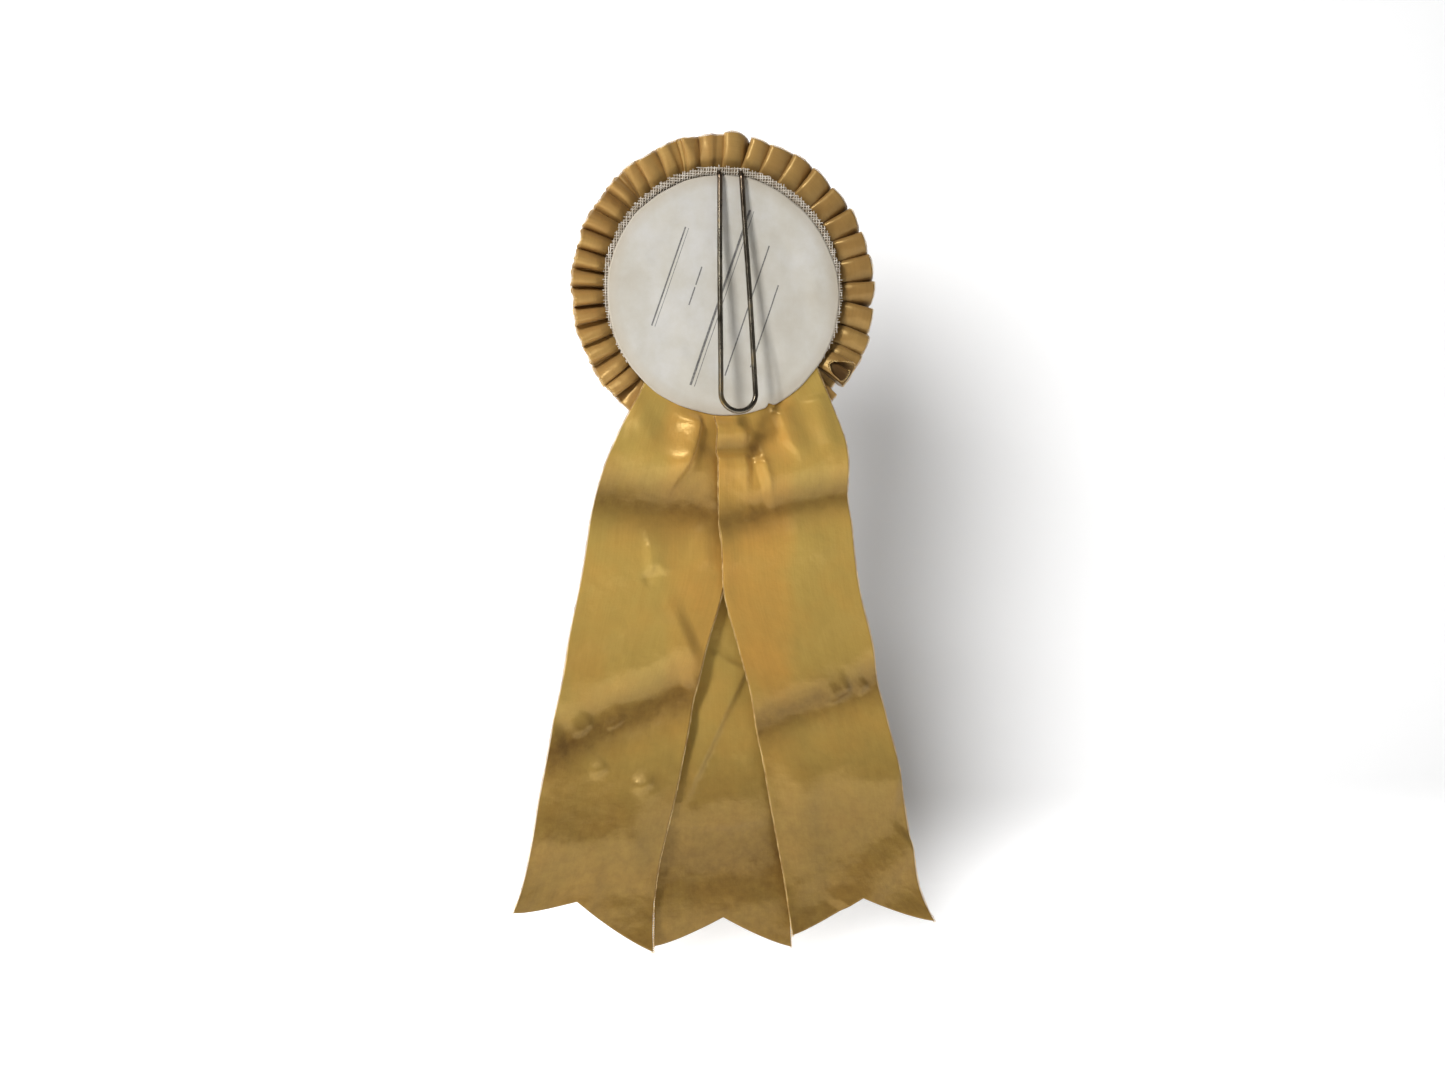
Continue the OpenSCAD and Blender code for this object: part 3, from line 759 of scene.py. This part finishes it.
# Picots are the fine loops of weft that stand out along the ribbon's selvedges.
picot_pitch = 0.83
picot_tree, given = group_tree(
    "picot loops along a selvedge", ("Pitch", "NodeSocketFloat"), ("Loop radius", "NodeSocketFloat"),
    ("Thread radius", "NodeSocketFloat"), ("Material", "NodeSocketMaterial"),
)
line = add(picot_tree, "GeometryNodeMeshToCurve", {"Mesh": given["Geometry"]})
spaced = add(picot_tree, "GeometryNodeResampleCurve", {"Curve": line.outputs[0], "Length": given["Pitch"]},
             mode="LENGTH")
loop = add(picot_tree, "GeometryNodeCurvePrimitiveCircle", {"Resolution": 6, "Radius": given["Loop radius"]})
strand = add(picot_tree, "GeometryNodeCurvePrimitiveCircle",
             {"Resolution": 3, "Radius": given["Thread radius"]})
looped = add(picot_tree, "GeometryNodeCurveToMesh",
             {"Curve": loop.outputs[0], "Profile Curve": strand.outputs[0]})
along = add(picot_tree, "GeometryNodeInputTangent")
outward = add(picot_tree, "GeometryNodeInputNamedAttribute", {"Name": "outward"}, data_type="FLOAT_VECTOR")
first = add(picot_tree, "FunctionNodeAlignRotationToVector", {"Vector": along.outputs[0]}, axis="X")
turned = add(picot_tree, "FunctionNodeAlignRotationToVector",
             {"Rotation": first.outputs[0], "Vector": outward.outputs[0]}, axis="Y", pivot_axis="X")
uneven = add(picot_tree, "FunctionNodeRandomValue", {2: 0.8, 3: 1.15, "Seed": 5}, data_type="FLOAT")
placed = add(picot_tree, "GeometryNodeInstanceOnPoints",
             {"Points": spaced.outputs[0], "Instance": looped.outputs[0], "Rotation": turned.outputs[0],
              "Scale": uneven.outputs[1]})
real = add(picot_tree, "GeometryNodeRealizeInstances", {0: placed.outputs[0]})
dyed = add(picot_tree, "GeometryNodeSetMaterial",
           {"Geometry": real.outputs[0], "Material": given["Material"]})
add(picot_tree, "NodeGroupOutput", {0: dyed.outputs[0]})

picot_thread, tree, shader = new_material("silk picot thread", Roughness=0.5)
shader.inputs["Sheen Weight"].default_value = 0.3
fuzz = add(tree, "ShaderNodeTexNoise", {"Vector": add(tree, "ShaderNodeTexCoord").outputs["Object"],
                                        "Scale": 300.0, "Detail": 3.0})
tone = add(tree, "ShaderNodeValToRGB", {0: fuzz.outputs[0]})
tone.color_ramp.elements[0].position = 0.35
tone.color_ramp.elements[0].color = colour("#a87c34")
tone.color_ramp.elements[1].position = 0.65
tone.color_ramp.elements[1].color = colour("#e9c67e")
tree.links.new(tone.outputs[0], shader.inputs["Base Color"])


def picots(name, edges):
    """Picot loops along selvedges. Each edge is a pair: its points, and the points next inside them."""
    points, links, outward = [], [], []
    for edge, inside in edges:
        links += [[len(points) + i, len(points) + i + 1] for i in range(len(edge) - 1)]
        points += edge.tolist()
        outward += (edge - inside).tolist()
    made = mesh_object(name, points, [], links)
    stored = made.data.attributes.new("outward", "FLOAT_VECTOR", "POINT")
    stored.data.foreach_set("vector", np.array(outward, np.float32).ravel())
    run_tree(made, picot_tree, Pitch=picot_pitch / 1000, Loop_radius=0.0004, Thread_radius=0.00016,
             Material=picot_thread)
    return made



def soft_excess(value):
    """The value where it is well above 0, and 0 where it is well below, without a corner between."""
    return np.logaddexp(0, 5 * value) / 5


columns, rows = 121, 300
for side in ("left", "right", "centre"):
    u = np.linspace(0, 1, columns)[None, :]
    v = np.linspace(0, 1, rows)[:, None]
    tips = tail_tips[side]
    straight_end = tips[0] + (tips[1] - tips[0]) * u
    z = sewn_z + (straight_end + notch * (1 - np.abs(2 * u - 1)) ** 1.3 - sewn_z) * v
    edge_z = sewn_z + (straight_end - sewn_z) * v
    left_x, right_x = (lookup(edge_z, table) for table in tail_edges[side])
    x = left_x + (right_x - left_x) * u
    from_label = np.hypot(x - label_x, z - label_z) - label_r
    free = smooth(from_label, -0.4, 4.0)
    seed = len(side)
    lift = 0.9 * rough(x, z, 30.0, seed) + 0.3 * rough(x, z, 12.0, seed + 7) + 0.08 * rough(x, z, 4.5, seed)
    for path, height, widths, fades in tail_folds[side]:
        lift = lift + fold(x, z, path, height, widths, fades)
    lift = lift * free
    down = -z
    if side == "centre":
        pushed = 2.2 * smooth(down, 97, 112) + 1.2 * smooth(down, 125, 150)
        most = 0.1 + 1.0 * smooth(down, 112, 125) + 1.1 * smooth(down, 125, 150)
        lift = most - soft_excess(most - lift) - pushed
    else:
        least = -0.25 - 1.35 * smooth(down, 98, 112)
        lift = least + soft_excess(lift - least)
    if side == "right":
        lift = lift + 0.75 * np.exp(-((x - left_x) / 5.0) ** 2) * smooth(z, -165, -148) * free
    if side == "left":
        under_right = np.exp(-((x - right_x) / 7.0) ** 2) * smooth(z, -165, -148) * free
        lift = lift - under_right * (0.3 + 0.8 * np.maximum(lift, 0))
    curl = corner_curl[side] * v**10 * (2 * u - 1) ** 2
    y = tail_y[side] + hang(x, z) - lift - curl
    flat = np.stack([ribbon_w * u + 0 * v, -z], -1)
    tail = sheet_object(f"{side}_ribbon_tail", np.stack([x, y, z], -1), flat)
    # Painted shade: the satin is painted darker towards the bottom of the tails, and along the fold hollows
    # listed above.
    painted_shade = 0.1 + 0.26 * smooth(down, 115, 190) + 0.42 * smooth(down, 190, 234) + 0.05 * smooth(down, 234, 276)
    for path, width, strength in tail_painted_shade[side]:
        painted_shade = painted_shade + fold(x, z, path, strength, (width, width), (0, 0))
    give(tail, "painted_shade", painted_shade)
    # Painted light: a side tail is painted warmer where it lies over the centre tail, standing in for light
    # coming back through two layers of satin. On the frills this number only varies the tone at random.
    painted_layer_light = smooth(x, -27, -20) * smooth(-x, -26, -19)
    give(tail, "warmth_and_painted_light", 0.15 + 0.6 * painted_layer_light * smooth(z, -215, -165) * (side != "centre"))
    points = np.stack([x, y, z], -1)
    selvedges = [(points[:, 0], points[:, 2]), (points[:, -1], points[:, -3])]
    loops = picots(f"{side}_tail_picots", selvedges)
    tail.data.materials.append(tail_satin)
    thicken(tail, ribbon_t, 0)
    for piece in (tail, loops):
        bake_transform(piece)
    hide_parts(f"{side}_tail", f"{side}_tail_head")

# ---- Sewing thread ----
# Short running stitches of gold silk hold the tails and both frills to the buckram, out of sight.

silk, tree, shader = new_material("gold silk sewing thread", Roughness=0.45)
shader.inputs["Sheen Weight"].default_value = 0.3
twist = add(tree, "ShaderNodeTexWave", {"Vector": add(tree, "ShaderNodeTexCoord").outputs["Object"],
                                        "Scale": 1200.0, "Distortion": 0.5})
tone = add(tree, "ShaderNodeValToRGB", {0: twist.outputs[0]})
tone.color_ramp.elements[0].color = colour("#b08a3c")
tone.color_ramp.elements[1].color = colour("#e6c878")
tree.links.new(tone.outputs[0], shader.inputs["Base Color"])
for name in ("tail_stitches", "rear_frill_stitches", "front_frill_stitches"):
    nodes[name].data.materials.clear()
    nodes[name].data.materials.append(silk)

# ---- Frills ----
# Each frill is one length of narrower picot-edged satin ribbon, knife pleated by hand so that the folds
# lap counter-clockwise seen from the back, gathered to its inner edge and sewn round the buckram.

frill_x = disc_x + 1.0
frill_r = 55.5
pleat_count = 41
crisp_pleat = [(0.0, 0.95), (0.1, 0.5), (0.28, -0.1), (0.5, -0.55), (0.75, -0.88), (1.0, -1.0), (1.17, -0.85),
               (1.24, -0.42), (1.15, 0.05), (1.02, 0.5)]
soft_pleat = [(0.0, 0.9), (0.12, 0.6), (0.25, 0.05), (0.4, -0.55), (0.55, -0.9), (0.7, -1.0), (0.83, -0.75),
              (0.91, -0.2), (0.95, 0.3), (0.98, 0.7)]
frill_satin = satin("gold satin ribbon of the frills", "#bd9757", "#b0864c", "#947040", "#452c17")
# The cut end rolls over on itself to join the first pleat: (share of a pleat, height, how far its outer
# edge stands out, painted shade). Its near wall is the shorter, so the dark inside of the roll shows.
rolled_end = [
    (0.5, -1.35, -1.5, 0.6), (0.3, -1.15, -1, 0.8), (0.1, -1.2, -1.5, 0.8), (-0.05, -1.5, -3.5, 0.3),
    (0.02, -1.9, -7, 0), (0.25, -2.1, -9, 0), (0.5, -2.1, -8.5, 0), (0.72, -1.85, -5, 0),
    (0.85, -1.45, -2, 0.1), (0.75, -1.1, -0.6, 0.6), (0.4, -0.95, 0, 0.7), (0.0, -0.7, 0, 0.6),
    (-0.25, -0.3, 0, 0.3), (-0.35, 0.2, 0, 0.3), (-0.2, 0.6, 0, 0.3),
]


def spline(values, samples):
    """A smooth line through rows of values, with that many points for each row."""
    p = np.concatenate([[2 * values[0] - values[1]], values, [2 * values[-1] - values[-2]]])
    t = np.linspace(0, 1, samples, endpoint=False)[None, :, None]
    a, b, c, d = p[:-3, None], p[1:-2, None], p[2:-1, None], p[3:, None]
    curve = 0.5 * (2 * b + (c - a) * t + (2 * a - 5 * b + 4 * c - d) * t**2 + (3 * b - a - 3 * c + d) * t**3)
    return np.concatenate([curve.reshape(-1, values.shape[1]), values[-1:]])


def frill_ribbon(start_turn, span, mids, depths, inner_r, outer_r, seed):
    """A pleated ribbon's points as (along it, across it, xyz), with the flat place and painted shade of each.

    mids and depths are tables of (radius, mm): the Y of the frill's middle and its folds' half depth."""
    draw = np.random.default_rng(seed)
    pitch = 1 + 0.13 * np.cos(np.radians(start_turn + span * np.arange(pleat_count) / pleat_count))
    pitch = pitch * draw.uniform(0.86, 1.14, pleat_count)
    bounds_turn = start_turn + span * np.concatenate([[0], np.cumsum(pitch) / pitch.sum()])
    knots = [[t, h, 0, 0, out, 0, dark] for t, h, out, dark in rolled_end]
    for i in range(pleat_count):
        middle = (bounds_turn[i] + bounds_turn[i + 1]) / 2 % 360
        softness = float(smooth(middle, 112, 138) * smooth(-middle, -232, -205))
        softness = min(1.0, max(0.0, softness + 0.12 * draw.normal()))
        lean, swell, shift = draw.normal(0, 0.08), draw.uniform(0.8, 1.2), draw.normal(0, 0.25)
        crushed = float(smooth(middle, 88, 94) * smooth(-middle, -114, -106))
        for (ct, ch), (st, sh) in zip(crisp_pleat, soft_pleat):
            t = ct + (st - ct) * softness + crushed * draw.normal(0, 0.08)
            h = (ch + (0.8 * sh - ch) * softness) * swell + crushed * draw.normal(0, 0.3)
            poke = 1.9 * math.exp(-(((middle - 87) / 4.5) ** 2)) * max(0.0, -h)
            knots.append([i + t, h, lean + crushed * draw.normal(0, 0.3), shift, poke, softness, 0])
    line = spline(np.array(knots), 2)
    t, h, lean, shift, poke, softness, rolled_painted_shade = line.T[:, :, None]
    share = np.linspace(0, 1, 30)[None, :] ** 0.8
    outer = outer_r - 0.5 - 0.9 * np.clip(h, 0, 1) + poke + 0.35 * np.sin(2.3 * t + seed)
    r = inner_r + (outer - inner_r) * share
    overlap = 1 + 0.55 * (1 - smooth(r, 40, 55))
    pleat = (np.arange(len(t)) // 2 - len(rolled_end)) // len(crisp_pleat)
    past = np.clip(t - np.clip(pleat, 0, None)[:, None] - 1, 0, None)
    lapped = t + past * (overlap - 1) + lean * (r - 44) / 11
    turn = np.radians(np.interp(lapped, np.arange(pleat_count + 1), bounds_turn))
    pressed = smooth(-np.sin(turn), 0.66, 0.82)
    mid = np.interp(r, *np.array(mids).T) + 0.5 * pressed
    depth = np.interp(r, *np.array(depths).T) * (1 - 0.45 * pressed)
    y = mid + depth * h + shift * smooth(r, 43, 50)
    y = y + 0.12 * rough(20 * t + 0 * r, r, 4.0, seed) * smooth(r, 43, 46)
    points = np.stack([frill_x + r * np.cos(turn), y, disc_z + r * np.sin(turn)], -1)
    steps = np.linalg.norm(np.diff(points[:, -1], axis=0), axis=1)
    along = np.concatenate([[0], np.cumsum(steps)])[:, None] + 0 * r
    flat = np.stack([r + 0 * t, along], -1)
    # Painted shade, all of it: darker where a pleat dives under the next, more so on the right side away from
    # the window lamp, towards the inner edge under the label, and on parts of the rolled end.
    hidden = smooth(h + 0 * r, -0.8, 0.5) * (1 - 0.35 * softness)
    far_side = smooth(np.cos(turn), -0.2, 0.8)
    shaded = (0.55 + 0.25 * far_side) * hidden
    return points, flat, shaded + 0.15 * smooth(-r, -50, -43) + 0.3 * far_side + rolled_painted_shade


for name, start, span, inner_r, outer_r, mids, depths, seed in [
    ("rear_frill", -37.0, 355.5, 34.0, frill_r,
     [(34, 6.6), (40.5, 6.6), (43.9, 5.0), (47, 4.3), (51, 4.3), (56, 5.0)],
     [(34, 0.25), (40.5, 0.35), (43.9, 1.5), (48, 2.5), (56, 3.4)], 4),
    ("front_frill", 60.0, 361.5, 27.0, frill_r - 1.6,
     [(27, 7.75), (40.5, 7.85), (44, 9.4), (48, 10.6), (56, 11.6)],
     [(27, 0.15), (32, 0.3), (40.5, 0.35), (44, 1.1), (48, 1.7), (56, 2.1)], 9),
]:
    points, flat, painted_shade = frill_ribbon(start, span, mids, depths, inner_r, outer_r, seed)
    frill = sheet_object(f"{name}_ribbon", points, flat)
    give(frill, "painted_shade", painted_shade)
    give(frill, "warmth_and_painted_light", 0.5 + 0.3 * rough(points[..., 0], points[..., 2], 14.0, 8.0))
    loops = picots(f"{name}_picots", [(points[:, -1], points[:, -3])])
    frill.data.materials.append(frill_satin)
    thicken(frill, 0.3, 0)
    for piece in (frill, loops):
        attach(piece, "rosette")
    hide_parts(name)
    width = (outer_r - inner_r) / 1000

# ---- Button ----
# The boss of the front: a disc of pasteboard padded with wadding, with satin drawn over it and turned in
# behind. A wire staple through its middle holds it on.

button_low, button_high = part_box("button_cover")
pasteboard, tree, shader = new_material("grey pasteboard", Roughness=0.9)
grain = add(tree, "ShaderNodeTexNoise", {"Vector": add(tree, "ShaderNodeTexCoord").outputs["Object"],
                                         "Scale": 400.0, "Detail": 5.0})
tone = add(tree, "ShaderNodeValToRGB", {0: grain.outputs[0]})
tone.color_ramp.elements[0].color = colour("#8f8064")
tone.color_ramp.elements[1].color = colour("#c6b797")
tree.links.new(tone.outputs[0], shader.inputs["Base Color"])
nodes["button_card"].data.materials.clear()
nodes["button_card"].data.materials.append(pasteboard)

wadding, tree, shader = new_material("cotton wadding", Roughness=1.0)
shader.inputs["Sheen Weight"].default_value = 0.5
tufts = add(tree, "ShaderNodeTexNoise", {"Vector": add(tree, "ShaderNodeTexCoord").outputs["Object"],
                                         "Scale": 250.0, "Detail": 6.0})
tone = add(tree, "ShaderNodeValToRGB", {0: tufts.outputs[0]})
tone.color_ramp.elements[0].color = colour("#cfc7b4")
tone.color_ramp.elements[1].color = colour("#f1ecdf")
tree.links.new(tone.outputs[0], shader.inputs["Base Color"])
staple_wire, tree, shader = new_material("drawn staple wire", Metallic=1.0, Roughness=0.35)
drawn = add(tree, "ShaderNodeTexNoise", {"Vector": add(tree, "ShaderNodeTexCoord").outputs["Object"],
                                         "Scale": 700.0, "Detail": 3.0})
tone = add(tree, "ShaderNodeValToRGB", {0: drawn.outputs[0]})
tone.color_ramp.elements[0].color = colour("#77756d")
tone.color_ramp.elements[1].color = colour("#b9b7ad")
tree.links.new(tone.outputs[0], shader.inputs["Base Color"])
nodes["button_fastener"].data.materials.clear()
nodes["button_fastener"].data.materials.append(staple_wire)

# The satin cover: a low dome with a rolled edge, drawn in fine radial puckers where it turns under.
cover_satin = satin("gold satin drawn over the button", "#cfa95c", "#cf9f52", "#a67f40", "#6b4d24")
front_y = 1000 * button_high.y
hem_y = 1000 * button_low.y
profile = [(0, front_y - 0.3), (12, front_y - 0.35), (20, front_y - 0.8), (24.5, front_y - 1.7),
           (27.2, front_y - 3.2), (28.4, front_y - 5.0), (28.55, front_y - 6.4), (28.1, hem_y + 0.35),
           (26.5, hem_y + 0.1), (23, hem_y + 0.15)]
curve = spline(np.array(profile, float), 6)
turns = np.linspace(0, 2 * math.pi, 241)
arc = np.concatenate([[0], np.cumsum(np.hypot(*np.diff(curve, axis=0).T))])
pucker = 0.22 * smooth(curve[:, 0], 21, 27)[:, None] * (
    np.sin(46 * turns)[None, :] + 0.6 * np.sin(29 * turns + 1)[None, :])
r = curve[:, 0:1] + 0 * turns[None, :]
y = curve[:, 1:2] + pucker
points = np.stack([disc_x + r * np.cos(turns), y, disc_z + r * np.sin(turns)], -1)
flat = np.stack([r * np.cos(turns), r * np.sin(turns)], -1)
cover = sheet_object("button_satin_cover", points[::-1], flat[::-1])
# Painted shade: the cover is painted darker over the shoulder of the dome where it turns under.
give(cover, "painted_shade", 0.1 + 0.3 * smooth(arc[::-1], 24, 33)[:, None] + 0 * turns[None, :])
give(cover, "warmth_and_painted_light", 0.5 + 0 * r)
cover.data.materials.append(cover_satin)
weld = cover.modifiers.new("close the seam", "WELD")
weld.merge_threshold = 0.00001
plain_mesh(cover)
thicken(cover, 0.3, -1)
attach(cover, "rosette")
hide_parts("button_cover")

# The wadding fills the dome and lies on the pasteboard.
card_top_y = 1000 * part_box("button_card")[1].y
under = [(r, y - 0.55) for r, y in profile[:6]]
pad_line = spline(np.array([(0, card_top_y + 0.02), (20, card_top_y + 0.02),
                            (27.2, card_top_y + 0.1), (27.7, card_top_y + 0.7)]
                           + [(min(r, 27.7), y) for r, y in reversed(under)], float), 4)
r = pad_line[:, 0:1] + 0 * turns[None, :]
y = pad_line[:, 1:2] + 0 * turns[None, :]
pad_points = np.stack([disc_x + r * np.cos(turns), y, disc_z + r * np.sin(turns)], -1)
pad = sheet_object("button_wadding", pad_points, np.stack([r * np.cos(turns), r * np.sin(turns)], -1))
pad.data.materials.append(wadding)
weld = pad.modifiers.new("close the seam", "WELD")
weld.merge_threshold = 0.00001
plain_mesh(pad)
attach(pad, "rosette")
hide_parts("button_padding")
